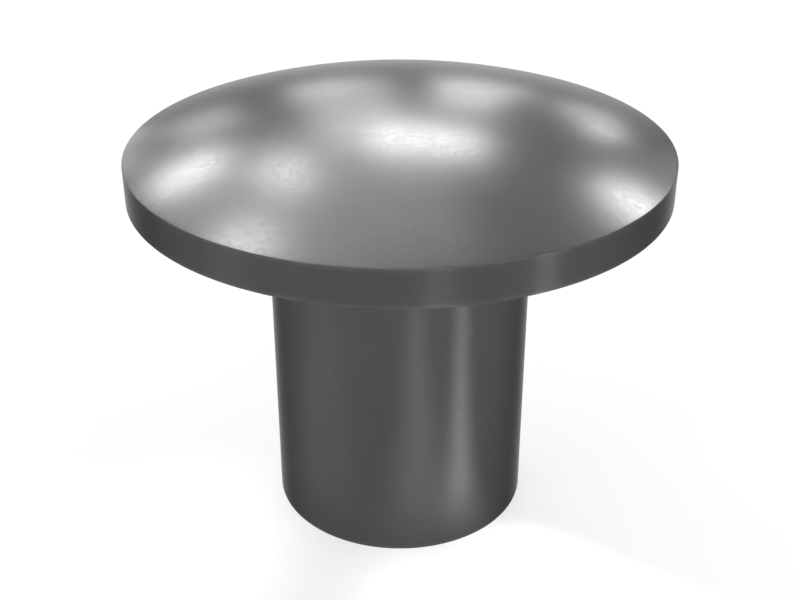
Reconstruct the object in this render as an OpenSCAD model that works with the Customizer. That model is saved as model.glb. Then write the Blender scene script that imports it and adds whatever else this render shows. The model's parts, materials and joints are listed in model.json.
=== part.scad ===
// Semi-tubular rivet, cold headed from one piece of steel wire.
// +Z is up and the head is at the top. The origin is on the axis, in the plane of the
// head's flat underside, which is the face that bears on the work.

/* [Shank] */
// Diameter of the shank
shank_d = 4.7; // [4:0.05:8]
// Length of the shank, from the head's underside to the tail end
shank_len = 6.35; // [5.5:0.05:25]
// Width of the small chamfer round the outside of the tail end
tail_break = 0.03; // [0.01:0.01:0.2]

/* [Head] */
// Diameter of the head
head_d = 9.5; // [6:0.05:16]
// Height of the head's straight rim
rim_h = 0.64; // [0.3:0.02:2]
// Height of the domed crown, from the top of the rim to the apex
crown_h = 0.86; // [0.3:0.02:2]
// Width of the small chamfers along the two edges of the rim
rim_break = 0.02; // [0.01:0.01:0.1]
// Radius of the fillet between the shank and the head's underside
seat_fillet_r = 0.1; // [0.05:0.05:0.5]

/* [Tail hole] */
// Thickness of the tubular wall round the hole
tail_wall = 0.65; // [0.4:0.05:1.1]
// Depth of the hole's straight wall, from the tail end to the start of the taper
hole_depth = 4.2; // [2:0.05:4.6]
// Included angle of the tapered bottom of the hole, in degrees
hole_taper_angle = 90; // [60:5:150]
// Diameter of the flat that the punch leaves at the bottom of the hole
punch_flat_d = 1.6; // [0.2:0.1:1.8]
// Width of the flare at the mouth of the hole
mouth_flare = 0.12; // [0.02:0.01:0.2]

/* [Hidden] */
$fn = 180;
// Overlap that makes neighbouring regions and cutters share area
lap = 0.1;

shank_r = shank_d / 2;
head_r = head_d / 2;
hole_r = shank_r - tail_wall;
punch_flat_r = punch_flat_d / 2;
taper_h = (hole_r - punch_flat_r) / tan(hole_taper_angle / 2);
// The crown is a cap of a sphere that passes through the apex and the top edge of the rim.
crown_r = (head_r * head_r + crown_h * crown_h) / (2 * crown_h);
crown_centre_z = rim_h + crown_h - crown_r;
// Slope of the crown where it meets the rim, in degrees below the horizontal.
crown_edge_slope = asin(head_r / crown_r);

// Cutter for a broken edge: it takes the given width off the corner between two faces.
// along_a and along_b are unit vectors that run from the corner along those faces.
module corner_break(corner, along_a, along_b, width) {
    end_a = corner + width * along_a;
    end_b = corner + width * along_b;
    past_end = lap * (end_a - end_b) / norm(end_a - end_b);
    polygon([end_a + past_end, end_b - past_end, corner - lap * (along_a + along_b)]);
}

// Half-section of the head: the straight rim under the cap of a sphere.
module head_section() {
    difference() {
        union() {
            square([head_r, rim_h]);
            intersection() {
                translate([0, crown_centre_z]) circle(r = crown_r);
                translate([0, rim_h - lap]) square([head_r, crown_h + 2 * lap]);
            }
        }
        corner_break([head_r, 0], [-1, 0], [0, 1], rim_break);
        corner_break([head_r, rim_h], [-cos(crown_edge_slope), sin(crown_edge_slope)],
            [0, -1], rim_break);
    }
}

// Half-section of the web in the corner under the head, cut to a quarter round.
module fillet_section() {
    translate([shank_r, -seat_fillet_r]) difference() {
        square(seat_fillet_r);
        translate([seat_fillet_r, 0]) circle(r = seat_fillet_r);
    }
}

// Half-section of the shank as a solid bar.
module shank_section() {
    difference() {
        translate([0, -shank_len]) square([shank_r, shank_len + lap]);
        corner_break([shank_r, -shank_len], [-1, 0], [0, 1], tail_break);
    }
}

// Half-section of the hole: flared mouth, straight wall, tapered bottom and punch flat.
module hole_section() {
    translate([0, -shank_len]) polygon([
        [0, -lap],
        [hole_r + mouth_flare + lap, -lap],
        [hole_r, mouth_flare],
        [hole_r, hole_depth],
        [punch_flat_r, hole_depth + taper_h],
        [0, hole_depth + taper_h]
    ]);
}

// The whole rivet, turned from its half-section.
module rivet() {
    color("dimgray") rotate_extrude() difference() {
        union() {
            head_section();
            fillet_section();
            shank_section();
        }
        hole_section();
    }
}

rivet();
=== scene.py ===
"""Semi-tubular rivet: a cold-headed steel rivet standing on its tail end in a pale studio.

Lengths are in metres, as Blender's are. The rivet's axis is Z, and the flat underside of its
head lies in the plane Z = 0. The camera stands in front, at -Y.
"""

import json
import math

import bpy
from bpy.props import (
    FloatProperty,
    FloatVectorProperty,
    IntProperty,
    PointerProperty,
)
from mathutils import Matrix, Vector


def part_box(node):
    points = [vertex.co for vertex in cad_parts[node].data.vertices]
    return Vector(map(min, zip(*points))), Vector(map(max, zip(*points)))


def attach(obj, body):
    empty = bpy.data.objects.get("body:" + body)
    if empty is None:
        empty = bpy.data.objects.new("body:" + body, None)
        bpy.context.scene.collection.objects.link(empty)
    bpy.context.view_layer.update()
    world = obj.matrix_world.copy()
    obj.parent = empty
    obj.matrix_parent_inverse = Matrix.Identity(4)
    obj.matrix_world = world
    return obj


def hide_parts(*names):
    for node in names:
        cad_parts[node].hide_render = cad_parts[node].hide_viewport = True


bl_info = {
    "name": "Semi-tubular rivet",
    "version": (1, 0, 0),
    "blender": (4, 5, 0),
    "location": "3D View > Sidebar > Rivet",
    "description": "Builds a cold-headed semi-tubular rivet and the studio it stands in",
    "category": "Object",
}

MM = 0.001
MICRON = 0.000001

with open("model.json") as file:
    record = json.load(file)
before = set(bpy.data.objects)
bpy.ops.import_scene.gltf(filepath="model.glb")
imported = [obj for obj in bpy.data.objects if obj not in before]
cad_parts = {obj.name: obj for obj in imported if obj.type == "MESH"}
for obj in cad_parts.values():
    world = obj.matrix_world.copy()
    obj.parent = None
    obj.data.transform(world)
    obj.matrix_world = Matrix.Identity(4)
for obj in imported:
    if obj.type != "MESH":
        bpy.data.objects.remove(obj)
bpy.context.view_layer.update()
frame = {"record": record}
RIVET_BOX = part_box("rivet")
MOUNTS = {mount["name"]: mount for mount in frame["record"]["mounts"]}


def linear(hex_colour):
    """Turns an sRGB colour such as "8c8c8c" into the linear one that Blender's shaders use."""
    channels = (int(hex_colour[i : i + 2], 16) / 255 for i in (0, 2, 4))
    return tuple(
        c / 12.92 if c <= 0.04045 else ((c + 0.055) / 1.055) ** 2.4 for c in channels
    )


def link_object(context, name, data):
    """Puts a mesh, a lamp or a camera into the scene."""
    item = bpy.data.objects.new(name, data)
    context.scene.collection.objects.link(item)
    return item


# Sizes and colours that a user would change


class RivetSizes(bpy.types.PropertyGroup):
    """The rivet's sizes. The frame gives those that it holds."""

    head_radius: FloatProperty(
        name="Head radius",
        description="Radius of the head, at its straight rim",
        default=RIVET_BOX[1][0],
        unit="LENGTH",
    )
    head_height: FloatProperty(
        name="Head height",
        description="From the head's underside to the top of its crown",
        default=RIVET_BOX[1][2],
        unit="LENGTH",
    )
    rim_height: FloatProperty(
        name="Rim height",
        description="Height of the straight rim, up to the edge of the crown",
        default=0.64 * MM,
        unit="LENGTH",
    )
    shank_radius: FloatProperty(
        name="Shank radius",
        description="Radius of the shank, which is plain from head to tail",
        default=MOUNTS["shank"]["dims"]["r_mm"] * MM,
        unit="LENGTH",
    )
    shank_length: FloatProperty(
        name="Shank length",
        description="From the head's underside to the tail end",
        default=-RIVET_BOX[0][2],
        unit="LENGTH",
    )
    hole_radius: FloatProperty(
        name="Hole radius",
        description="Radius of the tail hole's straight wall",
        default=MOUNTS["tail_hole"]["dims"]["r_mm"] * MM,
        unit="LENGTH",
    )
    hole_depth: FloatProperty(
        name="Hole depth",
        description="From the tail end to the start of the hole's taper",
        default=4.2 * MM,
        unit="LENGTH",
    )
    punch_flat_radius: FloatProperty(
        name="Punch flat radius",
        description="Radius of the flat that the punch leaves at the hole's bottom",
        default=0.8 * MM,
        unit="LENGTH",
    )
    hole_taper: FloatProperty(
        name="Hole taper",
        description="Included angle of the hole's tapered bottom",
        default=math.radians(90),
        subtype="ANGLE",
    )
    mouth_flare: FloatProperty(
        name="Mouth flare",
        description="Width of the flare at the mouth of the hole",
        default=0.12 * MM,
        unit="LENGTH",
    )
    seat_fillet: FloatProperty(
        name="Seat fillet",
        description="Radius between the shank and the head's underside",
        default=0.1 * MM,
        unit="LENGTH",
    )
    edge_round: FloatProperty(
        name="Edge rounding",
        description="Radius that tumbling leaves on the rim's and the tail's outer edges",
        default=0.01 * MM,
        unit="LENGTH",
    )
    segments: IntProperty(
        name="Segments",
        description="Number of flat steps that each round face is made of",
        default=360,
        min=24,
    )


class SteelLook(bpy.types.PropertyGroup):
    """Colours and surface of the steel."""

    # The crown has the steel's own colour. It is lighter than the rim and the shank only because
    # those are painted shade.
    crown_colour: FloatVectorProperty(
        name="Crown",
        description="Colour of the crown, which the polished header die burnishes",
        default=linear("6e6e6e"),
        subtype="COLOR",
        min=0,
        max=1,
    )
    # The rim's colour is a darker copy of the crown's: painted shade that dims the reflection of
    # the floor in the rim, the underside and the tail.
    rim_painted_shade_colour: FloatVectorProperty(
        name="Rim",
        description="Colour of the rim and the underside, which bulge freely and stay duller",
        default=linear("4f4f4f"),
        subtype="COLOR",
        min=0,
        max=1,
    )
    # The shank's colour is a darker copy of the crown's: painted shade that dims the shank's
    # reflection of the floor.
    shank_painted_shade_colour: FloatVectorProperty(
        name="Shank",
        description="Colour of the shank, which keeps the skin of the drawn wire",
        default=linear("525252"),
        subtype="COLOR",
        min=0,
        max=1,
    )
    worn_colour: FloatVectorProperty(
        name="Worn edge",
        description="Colour of the edges, where rivets knock together and rub bright",
        default=linear("606060"),
        subtype="COLOR",
        min=0,
        max=1,
    )
    hole_colour: FloatVectorProperty(
        name="Inside the hole",
        description="Colour of the punched hole's wall, which keeps its film of oil",
        default=linear("5a5855"),
        subtype="COLOR",
        min=0,
        max=1,
    )
    roughness: FloatProperty(
        name="Roughness",
        description="Roughness of the tumbled steel, from 0 for a mirror to 1 for matt",
        default=0.25,
        min=0,
        max=1,
        subtype="FACTOR",
    )
    grain: FloatProperty(
        name="Grain",
        description="Width at which one grain of the tumbled surface is drawn",
        default=0.08 * MM,
        unit="LENGTH",
    )
    scuff: FloatProperty(
        name="Scuff length",
        description="Length of the fine scuffs that rivets leave on each other",
        default=0.6 * MM,
        unit="LENGTH",
    )


class StudioLook(bpy.types.PropertyGroup):
    """The floor and the light of the studio."""

    floor_colour: FloatVectorProperty(
        name="Floor",
        description="Colour of the white floor",
        default=linear("fafafa"),
        subtype="COLOR",
        min=0,
        max=1,
    )
    whitening: FloatProperty(
        name="Floor whitening",
        description="Share of plain white in the floor where it is seen directly or reflected",
        default=0.65,
        min=0,
        max=1,
        subtype="FACTOR",
    )
    sky: FloatProperty(
        name="Overhead light",
        description="Brightness of the studio's ceiling, where the horizon's is 1",
        default=0.64,
        min=0,
    )
    lamps: FloatProperty(
        name="Lamps",
        description="Brightness of all the lamps together, where 1 is as set up",
        default=1.0,
        min=0,
    )


# Materials


def add_node(tree, kind, settings=None, inputs=None):
    """Adds one node. Settings go on its properties. Inputs go on its sockets, by name or by
    number, each as a value or as a link from another node's output."""
    node = tree.nodes.new(kind)
    for name, value in (settings or {}).items():
        setattr(node, name, value)
    for socket, value in (inputs or {}).items():
        if isinstance(value, bpy.types.NodeSocket):
            tree.links.new(value, node.inputs[socket])
        else:
            node.inputs[socket].default_value = value
    return node


# Scuffs are upright blades of noise, which a surface cuts into fine lines. The blades stand at
# these turns, in degrees, and each turn shifts them into another part of the noise. Their width
# and height are in millimetres. Real scuffs are 0.005 to 0.01 mm wide, too fine to show, so they
# are drawn wider.
SCUFF_TURNS = (12, 64, 109, 151)
SCUFF_SHIFT_PER_DEGREE = (0.37, 0.11, 0.05)
SCUFF_WIDTH = 0.025
SCUFF_HEIGHT = 0.3
# How much rougher a scuff is than the steel round it
SCUFF_ROUGHNESS = 0.01
# Draw lines change this much more slowly along the wire than across it, so they are about thirty
# times as long as they are wide.
DRAW_LINE_PACE = 0.03


def steel_material(name, look, colour, draw_marks=0.0, film=0.08, edge_gloss=0.5):
    """Cold-headed low-carbon steel, tumbled in bulk. To the eye it is a satin grey metal with a
    soft fine grain, cloudy patches where its film is thicker, thin scuffs that cross at all
    angles, and edges rubbed bright.

    draw_marks is the depth in microns of the lengthwise lines that drawing or punching leaves.
    film is how much darker the thickest film makes the steel. edge_gloss is how much of a metal's
    brightening at grazing angles the film lets through."""
    material = bpy.data.materials.new(name)
    material.use_nodes = True
    tree = material.node_tree
    tree.nodes.clear()

    # One unit is a millimetre from here on.
    place = add_node(
        tree,
        "ShaderNodeMapping",
        inputs={
            "Vector": add_node(tree, "ShaderNodeTexCoord").outputs["Object"],
            "Scale": (1 / MM,) * 3,
        },
    ).outputs["Vector"]

    # Patterns of noise, each (place, width of a feature in millimetres, detail, roughness).
    # Heading leaves the skin slightly wavy, the film gathers in clouds of about a millimetre, and
    # the tumbling stones mottle it every few tenths. Real grains are 0.02 to 0.04 mm wide, too
    # fine to show, so they are drawn about twice as wide.
    patterns = {
        "waviness": (place, 1.6, 1.0, 0.5),
        "clouds": (place, 0.9, 3.0, 0.6),
        "mottle": (place, 0.3, 2.0, 0.5),
        "grain": (place, look.grain / MM, 1.0, 0.5),
    }
    if draw_marks:
        lengthwise = add_node(
            tree,
            "ShaderNodeVectorMath",
            {"operation": "MULTIPLY"},
            {0: place, 1: (1, 1, DRAW_LINE_PACE)},
        ).outputs["Vector"]
        # Real draw lines are 0.01 to 0.03 mm apart, too fine to show, so they are drawn coarser.
        patterns["draw_lines"] = (lengthwise, 0.09, 3.0, 0.6)
    # Each direction of scuffs is a pattern and an effect of its own, named by its turn.
    for turn in SCUFF_TURNS:
        turned = add_node(
            tree,
            "ShaderNodeMapping",
            {"vector_type": "POINT"},
            {
                "Vector": place,
                "Rotation": (0, 0, math.radians(turn)),
                "Location": [turn * shift for shift in SCUFF_SHIFT_PER_DEGREE],
            },
        ).outputs["Vector"]
        stretched = add_node(
            tree,
            "ShaderNodeVectorMath",
            {"operation": "DIVIDE"},
            {0: turned, 1: (look.scuff / MM, SCUFF_WIDTH, SCUFF_HEIGHT)},
        ).outputs["Vector"]
        patterns[turn] = (stretched, 2.0, 0.0, 0.5)
    noises = {}
    for pattern, (where, size, detail, rough) in patterns.items():
        inputs = {"Vector": where, "Scale": 1 / size, "Detail": detail, "Roughness": rough}
        noises[pattern] = add_node(tree, "ShaderNodeTexNoise", inputs=inputs).outputs["Fac"]

    # What the patterns do, each (pattern, from low, from high, to low, to high). The noise is
    # stretched from the first two values to the last two, and goes no further than those.
    effects = {
        "cloud_film": ("clouds", 0.35, 0.68, 0.0, 0.55),
        "grain_film": ("grain", 0.3, 0.7, 0.0, 0.45),
        "mottle_roughness": ("mottle", 0.3, 0.7, look.roughness - 0.006, look.roughness + 0.006),
        "grain_roughness": ("grain", 0.3, 0.7, -0.013, 0.013),
        "rubbing": ("mottle", 0.35, 0.65, 0.45, 1.0),
    }
    for turn in SCUFF_TURNS:
        effects[turn] = (turn, 0.68, 0.9, 0.0, 1.0)
    sockets = ("Value", "From Min", "From Max", "To Min", "To Max")
    levels = {}
    for effect, (pattern, *ends) in effects.items():
        inputs = dict(zip(sockets, (noises[pattern], *ends)))
        levels[effect] = add_node(tree, "ShaderNodeMapRange", inputs=inputs).outputs["Result"]

    scuffs = levels[SCUFF_TURNS[0]]
    for turn in SCUFF_TURNS[1:]:
        scuffs = add_node(
            tree, "ShaderNodeMath", {"operation": "MAXIMUM"}, {0: scuffs, 1: levels[turn]}
        ).outputs["Value"]

    # Rubbing is uneven, so the mottling breaks the bright edge up.
    wear = add_node(
        tree,
        "ShaderNodeMath",
        {"operation": "MULTIPLY", "use_clamp": True},
        {
            0: add_node(
                tree, "ShaderNodeAttribute", {"attribute_name": EDGE_WEAR}
            ).outputs["Fac"],
            1: levels["rubbing"],
        },
    ).outputs["Value"]

    # The film is thicker in clouds, and a little thicker from one grain to the next.
    film_here = add_node(
        tree,
        "ShaderNodeMath",
        {"operation": "ADD"},
        {0: levels["cloud_film"], 1: levels["grain_film"]},
    ).outputs["Value"]
    # A Mix node has its two colours at sockets 6 and 7, and the mixed one at output 2.
    filmed = [channel * (1 - film) for channel in colour]
    mixed = add_node(
        tree,
        "ShaderNodeMix",
        {"data_type": "RGBA"},
        {0: film_here, 6: (*colour, 1), 7: (*filmed, 1)},
    ).outputs[2]
    mixed = add_node(
        tree,
        "ShaderNodeMix",
        {"data_type": "RGBA"},
        {0: wear, 6: mixed, 7: (*look.worn_colour, 1)},
    ).outputs[2]

    # The mottling and the grain make the surface duller and glossier in turns, which shows in
    # the highlights alone.
    roughness = add_node(
        tree,
        "ShaderNodeMath",
        {"operation": "ADD"},
        {0: levels["mottle_roughness"], 1: levels["grain_roughness"]},
    ).outputs["Value"]
    roughness = add_node(
        tree,
        "ShaderNodeMath",
        {"operation": "MULTIPLY_ADD", "use_clamp": True},
        {0: scuffs, 1: SCUFF_ROUGHNESS, 2: roughness},
    ).outputs["Value"]

    # Relief from coarse to fine, each with its depth in microns. Only drawn or punched steel has
    # draw lines.
    reliefs = {"waviness": 0.4, "draw_lines": draw_marks, "mottle": 0.05, "grain": 0.045}
    bent = {}
    for pattern, depth in reliefs.items():
        if pattern in noises:
            inputs = {
                "Height": noises[pattern],
                "Distance": depth * MICRON,
                "Strength": 1.0,
                **bent,
            }
            bent = {"Normal": add_node(tree, "ShaderNodeBump", inputs=inputs).outputs["Normal"]}

    surface = add_node(
        tree,
        "ShaderNodeBsdfPrincipled",
        inputs={
            "Base Color": mixed,
            "Metallic": 1.0,
            "Roughness": roughness,
            "Specular Tint": (edge_gloss, edge_gloss, edge_gloss, 1.0),
            **bent,
        },
    ).outputs["BSDF"]
    add_node(tree, "ShaderNodeOutputMaterial", inputs={"Surface": surface})
    return material


# Roughness of matt card
CARD_ROUGHNESS = 0.9


def floor_material(name, look):
    """White paper card, calendered matt. To the eye it is bright and even, with no sheen. Seen
    directly or in a shiny surface it is mixed with plain white, which whitens it without
    lighting the rivet."""
    material = bpy.data.materials.new(name)
    material.use_nodes = True
    tree = material.node_tree
    tree.nodes.clear()
    ray = add_node(tree, "ShaderNodeLightPath").outputs
    seen = ray["Is Camera Ray"]
    for kind in ("Is Glossy Ray", "Is Transmission Ray"):
        seen = add_node(
            tree, "ShaderNodeMath", {"operation": "MAXIMUM"}, {0: seen, 1: ray[kind]}
        ).outputs["Value"]
    whitening = add_node(
        tree, "ShaderNodeMath", {"operation": "MULTIPLY"}, {0: seen, 1: look.whitening}
    ).outputs["Value"]
    card = add_node(
        tree,
        "ShaderNodeBsdfPrincipled",
        inputs={"Base Color": (*look.floor_colour, 1), "Roughness": CARD_ROUGHNESS},
    ).outputs["BSDF"]
    white = add_node(
        tree, "ShaderNodeEmission", inputs={"Color": (1, 1, 1, 1), "Strength": 1.0}
    ).outputs["Emission"]
    surface = add_node(
        tree, "ShaderNodeMixShader", inputs={0: whitening, 1: card, 2: white}
    ).outputs["Shader"]
    add_node(tree, "ShaderNodeOutputMaterial", inputs={"Surface": surface})
    return material


# The rivet's mesh

# Name of the mesh attribute that tells the steel how much an edge is rubbed, and how far from
# the edge the rubbing reaches
EDGE_WEAR = "edge_wear"
WEAR_REACH = 0.09 * MM
# Radius of the bends inside the hole, where the punch's corners are rounded
PUNCH_ROUND = 0.06 * MM
# One step of a rounded corner turns by about this angle, and a corner has at least three.
ARC_STEP = math.radians(15)
LEAST_ARC_STEPS = 3
# Steps from the crown's top towards its edge, and the share of that arc that they cover. The
# rest is so short that it is straight, and runs into the rounded edge.
CROWN_STEPS = 64
CROWN_SHARE = 0.985
# A point nearer the axis than this lies on it.
AXIS_WIDTH = 1e-9


def eased_steps(start, end, count):
    """Points from start to end, closer together at the ends than in the middle."""
    return [
        start.lerp(end, (1 - math.cos(math.pi * i / count)) / 2) for i in range(count + 1)
    ]


def outward(direction):
    """Normal of an outline that runs from the crown's top, down the outside and up the hole."""
    return Vector((-direction.y, direction.x))


def rounded_corner(corner, arriving, leaving, radius):
    """Rounds the corner between two directions of an outline. Gives the arc's start and end, the
    (point, normal) of each step between them, and whether the corner is an outer one."""
    # angle_signed is positive clockwise, which is how the outline turns at an outer corner.
    turn = arriving.angle_signed(leaving)
    outer = turn > 0
    cut = radius * math.tan(abs(turn) / 2)
    start, end = corner - arriving * cut, corner + leaving * cut
    side = outward(arriving) if outer else -outward(arriving)
    centre = start - side * radius
    steps = max(LEAST_ARC_STEPS, round(abs(turn) / ARC_STEP))
    between = []
    for k in range(1, steps):
        spin = Matrix.Rotation(-turn * k / steps, 2)
        between.append((centre + (spin @ side) * radius, spin @ outward(arriving)))
    return start, end, between, outer


def rounded_outline(corners):
    """Turns corners, each (zone, point, rounding radius, steps to the next corner), into outline
    points, each (point, normal, zone, on a rounded outer edge)."""
    points = [Vector(point) for _, point, _, _ in corners]
    outline = []
    start = points[0]
    for i in range(1, len(points)):
        zone, _, _, steps = corners[i - 1]
        arriving = (points[i] - points[i - 1]).normalized()
        end, after, arc, outer = points[i], None, [], False
        if i < len(points) - 1:
            leaving = (points[i + 1] - points[i]).normalized()
            end, after, arc, outer = rounded_corner(points[i], arriving, leaving, corners[i][2])
        wall = outward(arriving)
        outline += [(point, wall, zone, False) for point in eased_steps(start, end, steps)]
        outline += [(point, normal, zone, outer) for point, normal in arc]
        start = after
    return outline


def rivet_outline(sizes):
    """Half-section of the rivet, from the top of its crown round to the bottom of its hole."""
    crown_height = sizes.head_height - sizes.rim_height
    crown_radius = (sizes.head_radius**2 + crown_height**2) / (2 * crown_height)
    centre = Vector((0, sizes.head_height - crown_radius))
    edge_angle = math.asin(sizes.head_radius / crown_radius)
    crown = []
    for i in range(CROWN_STEPS + 1):
        share = CROWN_SHARE * math.sin(math.pi / 2 * i / CROWN_STEPS)
        normal = Vector((math.sin(edge_angle * share), math.cos(edge_angle * share)))
        crown.append((centre + normal * crown_radius, normal, "crown", False))

    tail = -sizes.shank_length
    taper_start = tail + sizes.hole_depth
    taper_width = sizes.hole_radius - sizes.punch_flat_radius
    taper_end = taper_start + taper_width / math.tan(sizes.hole_taper / 2)
    corners = [
        ("crown", crown[-1][0], 0, 8),
        ("rim", (sizes.head_radius, sizes.rim_height), sizes.edge_round, 12),
        ("seat", (sizes.head_radius, 0), sizes.edge_round, 16),
        ("shank", (sizes.shank_radius, 0), sizes.seat_fillet, 26),
        ("tail", (sizes.shank_radius, tail), sizes.edge_round, 6),
        ("hole", (sizes.hole_radius + sizes.mouth_flare, tail), sizes.edge_round, 4),
        ("hole", (sizes.hole_radius, tail + sizes.mouth_flare), PUNCH_ROUND, 16),
        ("hole", (sizes.hole_radius, taper_start), PUNCH_ROUND, 8),
        ("hole", (sizes.punch_flat_radius, taper_end), PUNCH_ROUND, 8),
        ("hole", (0, taper_end), 0, 0),
    ]
    return crown[:-1] + rounded_outline(corners)


def turned_mesh(name, outline, segments, zones):
    """Turns an outline about Z. Its two ends lie on the axis. Normals are the outline's own, so
    that flat walls shade flat and rounded edges catch the light."""
    vertices, normals, rings = [], [], []
    for point, normal, _, _ in outline:
        if abs(point.x) < AXIS_WIDTH:
            rings.append([len(vertices)] * segments)
            vertices.append((0, 0, point.y))
            normals.append((0, 0, 1 if normal.y > 0 else -1))
            continue
        rings.append(list(range(len(vertices), len(vertices) + segments)))
        for k in range(segments):
            angle = 2 * math.pi * k / segments
            x, y = math.cos(angle), math.sin(angle)
            vertices.append((point.x * x, point.x * y, point.y))
            normals.append((normal.x * x, normal.x * y, normal.y))
    faces, face_zones = [], []
    for upper, lower, (_, _, zone, _) in zip(rings, rings[1:], outline):
        for k in range(segments):
            after = (k + 1) % segments
            corners = [upper[k], lower[k], lower[after], upper[after]]
            # Next to the axis two corners are one, and the face is a triangle.
            faces.append(list(dict.fromkeys(corners)))
            face_zones.append(zones.index(zone))
    mesh = bpy.data.meshes.new(name)
    mesh.from_pydata(vertices, [], faces)
    mesh.polygons.foreach_set("use_smooth", [True] * len(faces))
    mesh.polygons.foreach_set("material_index", face_zones)
    mesh.update()
    mesh.normals_split_custom_set_from_vertices(normals)
    return mesh, rings


def add_edge_wear(mesh, outline, rings, reach):
    """Writes how much each vertex is rubbed: 1 on a rounded outer edge, fading to 0 at reach
    from it. Nothing rubs inside the hole."""
    distances = [0.0]
    for (here, *_), (there, *_) in zip(outline, outline[1:]):
        distances.append(distances[-1] + (there - here).length)
    edges = [
        distance
        for distance, (_, _, zone, rounded) in zip(distances, outline)
        if rounded and zone != "hole"
    ]
    values = [0.0] * len(mesh.vertices)
    for ring, distance in zip(rings, distances):
        nearest = min(abs(distance - edge) for edge in edges)
        for vertex in ring:
            values[vertex] = max(0.0, 1 - nearest / reach) ** 2
    layer = mesh.attributes.new(EDGE_WEAR, "FLOAT", "POINT")
    layer.data.foreach_set("value", values)


class RIVET_OT_build_rivet(bpy.types.Operator):
    """Build the rivet's finely turned mesh and its steel"""

    bl_idname = "rivet.build_rivet"
    bl_label = "Build rivet"

    def execute(self, context):
        sizes, look = context.scene.rivet_sizes, context.scene.rivet_steel
        outline = rivet_outline(sizes)
        # Steel pressed by a polished die: the smoothest face, in which a lamp makes a soft bright
        # patch. Its colour is the steel's own. It is lighter than the rim and the shank because
        # those are painted darker as painted shade.
        crown = steel_material("die_pressed_crown_steel", look, look.crown_colour)
        # Steel that bulged freely outside the die, then tumbled. Its colour is a darker copy of
        # the crown's, painted shade that dims its reflection of the floor. It is a little duller
        # at grazing angles, and the same all round.
        rim = steel_material(
            "tumbled_steel_painted_shade", look, look.rim_painted_shade_colour, edge_gloss=0.43
        )
        # Steel wire pulled through a die, with faint lengthwise lines that draw a reflection out
        # into streaks. Like the rim's, its colour is a darker copy of the crown's: painted shade
        # that dims its reflection of the floor.
        shank = steel_material(
            "drawn_steel_painted_shade",
            look,
            look.shank_painted_shade_colour,
            draw_marks=0.05,
            edge_gloss=0.43,
        )
        # Steel scored by a punch and never wiped: deeper lines down the wall, and patches that a
        # film of oil makes darker and a little warmer.
        hole = steel_material(
            "punched_oiled_steel", look, look.hole_colour, draw_marks=0.3, film=0.3
        )
        # The material of each zone of the outline
        materials = {
            "crown": crown,
            "rim": rim,
            "seat": rim,
            "shank": shank,
            "tail": rim,
            "hole": hole,
        }
        mesh, rings = turned_mesh("turned_rivet", outline, sizes.segments, list(materials))
        add_edge_wear(mesh, outline, rings, reach=WEAR_REACH)
        for material in materials.values():
            mesh.materials.append(material)
        rivet = link_object(context, "turned_rivet", mesh)
        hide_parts("rivet")
        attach(rivet, "root")
        return {"FINISHED"}


# The studio

# Softboxes, each (name, azimuth, elevation, half width, half height, brightness). The angles are
# in degrees as the rivet sees them, with azimuth 0 behind it and positive to the right. A
# brightness of 1 is a white surface in full light. The ones at the back show as soft patches on
# the crown, and the five at the sides and in front do the same when it is seen from behind.
SOFTBOXES = [
    ("back", 4.0, 35.7, 6.2, 3.7, 12.57),
    ("back_left", -27.4, 29.5, 4.2, 2.4, 18.97),
    ("back_right", 37.0, 34.2, 6.7, 2.9, 15.42),
    ("high_left", -35.8, 53.0, 3.8, 4.5, 7.34),
    ("mid_left", -18.1, 40.9, 2.7, 5.2, 7.55),
    ("tall_back", -5.4, 23.1, 4.4, 13.8, 3.28),
    ("tall_right", 6.8, 17.4, 3.1, 6.2, 5.81),
    ("small_right", 20.5, 17.0, 1.6, 2.2, 13.30),
    ("tall_left", -18.8, 14.8, 3.1, 5.0, 4.20),
    ("overhead", -16.5, 50.0, 17.6, 20.4, 0.87),
    ("tall_far_right", 31.4, 14.3, 4.7, 6.7, 1.21),
    ("tall_far_left", -29.6, 11.7, 3.6, 6.6, 3.58),
    ("low_right", 17.4, 12.5, 3.0, 4.1, 2.28),
    ("low_back", 7.3, 10.8, 4.5, 2.7, 4.08),
    ("low_far_left", -24.6, 4.4, 3.6, 3.7, 4.33),
    ("low_right_inner", 16.8, 11.6, 2.6, 2.8, 2.82),
    ("low_left", -7.0, 12.3, 2.8, 3.4, 2.79),
    ("side_right", 84.0, 36.0, 6.0, 4.0, 5.5),
    ("side_left", -88.0, 38.0, 5.0, 5.0, 5.0),
    ("front_right", 128.0, 48.0, 4.5, 6.0, 4.5),
    ("front_left", -134.0, 40.0, 6.0, 3.5, 6.0),
    ("front", 176.0, 35.0, 7.0, 3.5, 5.0),
]
# How far the softboxes stand from the rivet's head
SOFTBOX_DISTANCE = 0.4
# Lamps with honeycomb grids that light strips of the floor in front, which the shank and the rim
# reflect, each (name, azimuth, sideways shift in millimetres, width in millimetres, spread of the
# beam in degrees, power in watts per square metre of lamp)
FLOOR_STRIPS = [
    ("right", 125, 1.0, 1.0, 2.2, 31.0),
    ("middle", 167, 0.0, 2.4, 3.0, 8.0),
    ("left", -117, 0.0, 3.4, 4.0, 3.3),
]
# Length of such a lamp, how far from the rivet's axis the middle of its strip lies, and how far
# and how steeply above that the lamp hangs
STRIP_LENGTH = 16 * MM
STRIP_REACH = 13.5 * MM
STRIP_DISTANCE = 45 * MM
STRIP_CLIMB = math.radians(50)
# Side of the square floor
FLOOR_SIZE = 3.0
# How fast the walls shade off above the horizon
WALL_FALLOFF = 12.0
# The camera's distance from the rivet's axis, its height above the top of the head's rim, how far
# it looks down, and its focal length in millimetres
CAMERA_BACK = 20.444 * MM
CAMERA_UP = 8.023 * MM
CAMERA_TILT = math.radians(28.479)
CAMERA_LENS = 56.5


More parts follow.
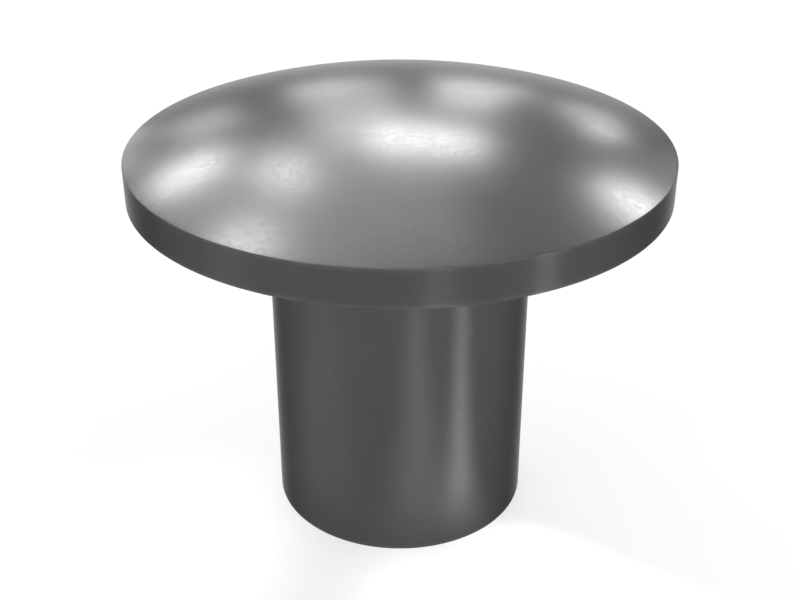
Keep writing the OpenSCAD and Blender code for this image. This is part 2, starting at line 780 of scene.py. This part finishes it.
def add_lamp(context, name, place, towards_lamp, width, height, power):
    """A rectangular lamp that shines back along towards_lamp. Its power is in watts per square
    metre."""
    lamp = bpy.data.lights.new(name, "AREA")
    lamp.shape = "RECTANGLE"
    lamp.size, lamp.size_y = width, height
    lamp.energy = power * width * height
    item = link_object(context, name, lamp)
    item.location = place
    item.rotation_mode = "QUATERNION"
    item.rotation_quaternion = towards_lamp.to_track_quat("Z", "Y")
    return lamp


def add_softbox(context, name, azimuth, elevation, half_width, half_height, brightness):
    """A softbox that faces the rivet's head. Its angles are in radians."""
    away = Vector(
        (
            math.sin(azimuth) * math.cos(elevation),
            math.cos(azimuth) * math.cos(elevation),
            math.sin(elevation),
        )
    )
    add_lamp(
        context,
        f"softbox_{name}",
        away * SOFTBOX_DISTANCE,
        away,
        2 * SOFTBOX_DISTANCE * math.tan(half_width),
        2 * SOFTBOX_DISTANCE * math.tan(half_height),
        math.pi * brightness,
    )


def add_floor_strip(context, name, azimuth, shift, width, spread, power, floor_level):
    """A narrow gridded lamp that shines down from the front on a strip of the floor."""
    away = Vector((math.sin(azimuth), math.cos(azimuth), 0))
    sideways = Vector((math.cos(azimuth), -math.sin(azimuth), 0))
    upwards = Vector((0, 0, 1))
    towards_lamp = away * math.cos(STRIP_CLIMB) + upwards * math.sin(STRIP_CLIMB)
    middle = away * STRIP_REACH + sideways * shift + upwards * floor_level
    lamp = add_lamp(
        context,
        f"floor_strip_{name}",
        middle + towards_lamp * STRIP_DISTANCE,
        towards_lamp,
        width,
        STRIP_LENGTH,
        power,
    )
    lamp.spread = spread


def add_floor(context, look, level):
    """A square of white card at a level."""
    half = FLOOR_SIZE / 2
    corners = [(-half, -half), (half, -half), (half, half), (-half, half)]
    mesh = bpy.data.meshes.new("floor")
    mesh.from_pydata([(x, y, level) for x, y in corners], [], [(0, 1, 2, 3)])
    mesh.materials.append(floor_material("matt_white_card", look))
    link_object(context, "floor", mesh)


def add_walls(context, look):
    """Walls that are white at the horizon and shade off towards a dimmer ceiling."""
    world = bpy.data.worlds.new("pale_studio")
    context.scene.world = world
    world.use_nodes = True
    tree = world.node_tree
    tree.nodes.clear()
    direction = add_node(tree, "ShaderNodeTexCoord").outputs["Generated"]
    height = add_node(
        tree, "ShaderNodeSeparateXYZ", inputs={"Vector": direction}
    ).outputs["Z"]
    below_top = add_node(
        tree,
        "ShaderNodeMath",
        {"operation": "SUBTRACT", "use_clamp": True},
        {0: 1.0, 1: height},
    ).outputs["Value"]
    falloff = add_node(
        tree, "ShaderNodeMath", {"operation": "POWER"}, {0: below_top, 1: WALL_FALLOFF}
    ).outputs["Value"]
    strength = add_node(
        tree,
        "ShaderNodeMath",
        {"operation": "MULTIPLY_ADD"},
        {0: falloff, 1: 1 - look.sky, 2: look.sky},
    ).outputs["Value"]
    light = add_node(
        tree, "ShaderNodeBackground", inputs={"Color": (1, 1, 1, 1), "Strength": strength}
    ).outputs["Background"]
    add_node(tree, "ShaderNodeOutputWorld", inputs={"Surface": light})


def add_camera(context, rim_top):
    """The camera, in front of the rivet and above it."""
    camera = bpy.data.cameras.new("camera")
    camera.lens = CAMERA_LENS
    camera.clip_start = 1 * MM
    item = link_object(context, "camera", camera)
    item.location = (0, -CAMERA_BACK, rim_top + CAMERA_UP)
    item.rotation_euler = (math.pi / 2 - CAMERA_TILT, 0, 0)
    context.scene.camera = item


class RIVET_OT_build_studio(bpy.types.Operator):
    """Build the floor, the light and the camera"""

    bl_idname = "rivet.build_studio"
    bl_label = "Build studio"

    def execute(self, context):
        sizes, look = context.scene.rivet_sizes, context.scene.rivet_studio
        floor_level = -sizes.shank_length
        add_floor(context, look, floor_level)
        add_walls(context, look)
        for name, *angles, brightness in SOFTBOXES:
            angles = [math.radians(angle) for angle in angles]
            add_softbox(context, name, *angles, brightness * look.lamps)
        for name, azimuth, shift, width, spread, power in FLOOR_STRIPS:
            add_floor_strip(
                context,
                name,
                math.radians(azimuth),
                shift * MM,
                width * MM,
                math.radians(spread),
                power * look.lamps,
                floor_level,
            )
        add_camera(context, sizes.rim_height)
        context.scene.view_settings.view_transform = "Standard"
        return {"FINISHED"}


class RIVET_PT_sidebar(bpy.types.Panel):
    """Lists the rivet's builders and their settings"""

    bl_idname = "RIVET_PT_sidebar"
    bl_label = "Semi-tubular rivet"
    bl_space_type = "VIEW_3D"
    bl_region_type = "UI"
    bl_category = "Rivet"

    def draw(self, context):
        for group, builder in (
            (context.scene.rivet_sizes, None),
            (context.scene.rivet_steel, RIVET_OT_build_rivet),
            (context.scene.rivet_studio, RIVET_OT_build_studio),
        ):
            for name in group.bl_rna.properties.keys():
                if name not in ("name", "rna_type"):
                    self.layout.prop(group, name)
            if builder:
                self.layout.operator(builder.bl_idname)


CLASSES = (
    RivetSizes,
    SteelLook,
    StudioLook,
    RIVET_OT_build_rivet,
    RIVET_OT_build_studio,
    RIVET_PT_sidebar,
)


def register():
    for cls in CLASSES:
        bpy.utils.register_class(cls)
    bpy.types.Scene.rivet_sizes = PointerProperty(type=RivetSizes)
    bpy.types.Scene.rivet_steel = PointerProperty(type=SteelLook)
    bpy.types.Scene.rivet_studio = PointerProperty(type=StudioLook)


def unregister():
    del bpy.types.Scene.rivet_studio
    del bpy.types.Scene.rivet_steel
    del bpy.types.Scene.rivet_sizes
    for cls in reversed(CLASSES):
        bpy.utils.unregister_class(cls)


def main():
    register()
    bpy.ops.rivet.build_rivet()
    bpy.ops.rivet.build_studio()


if __name__ == "__main__":
    main()
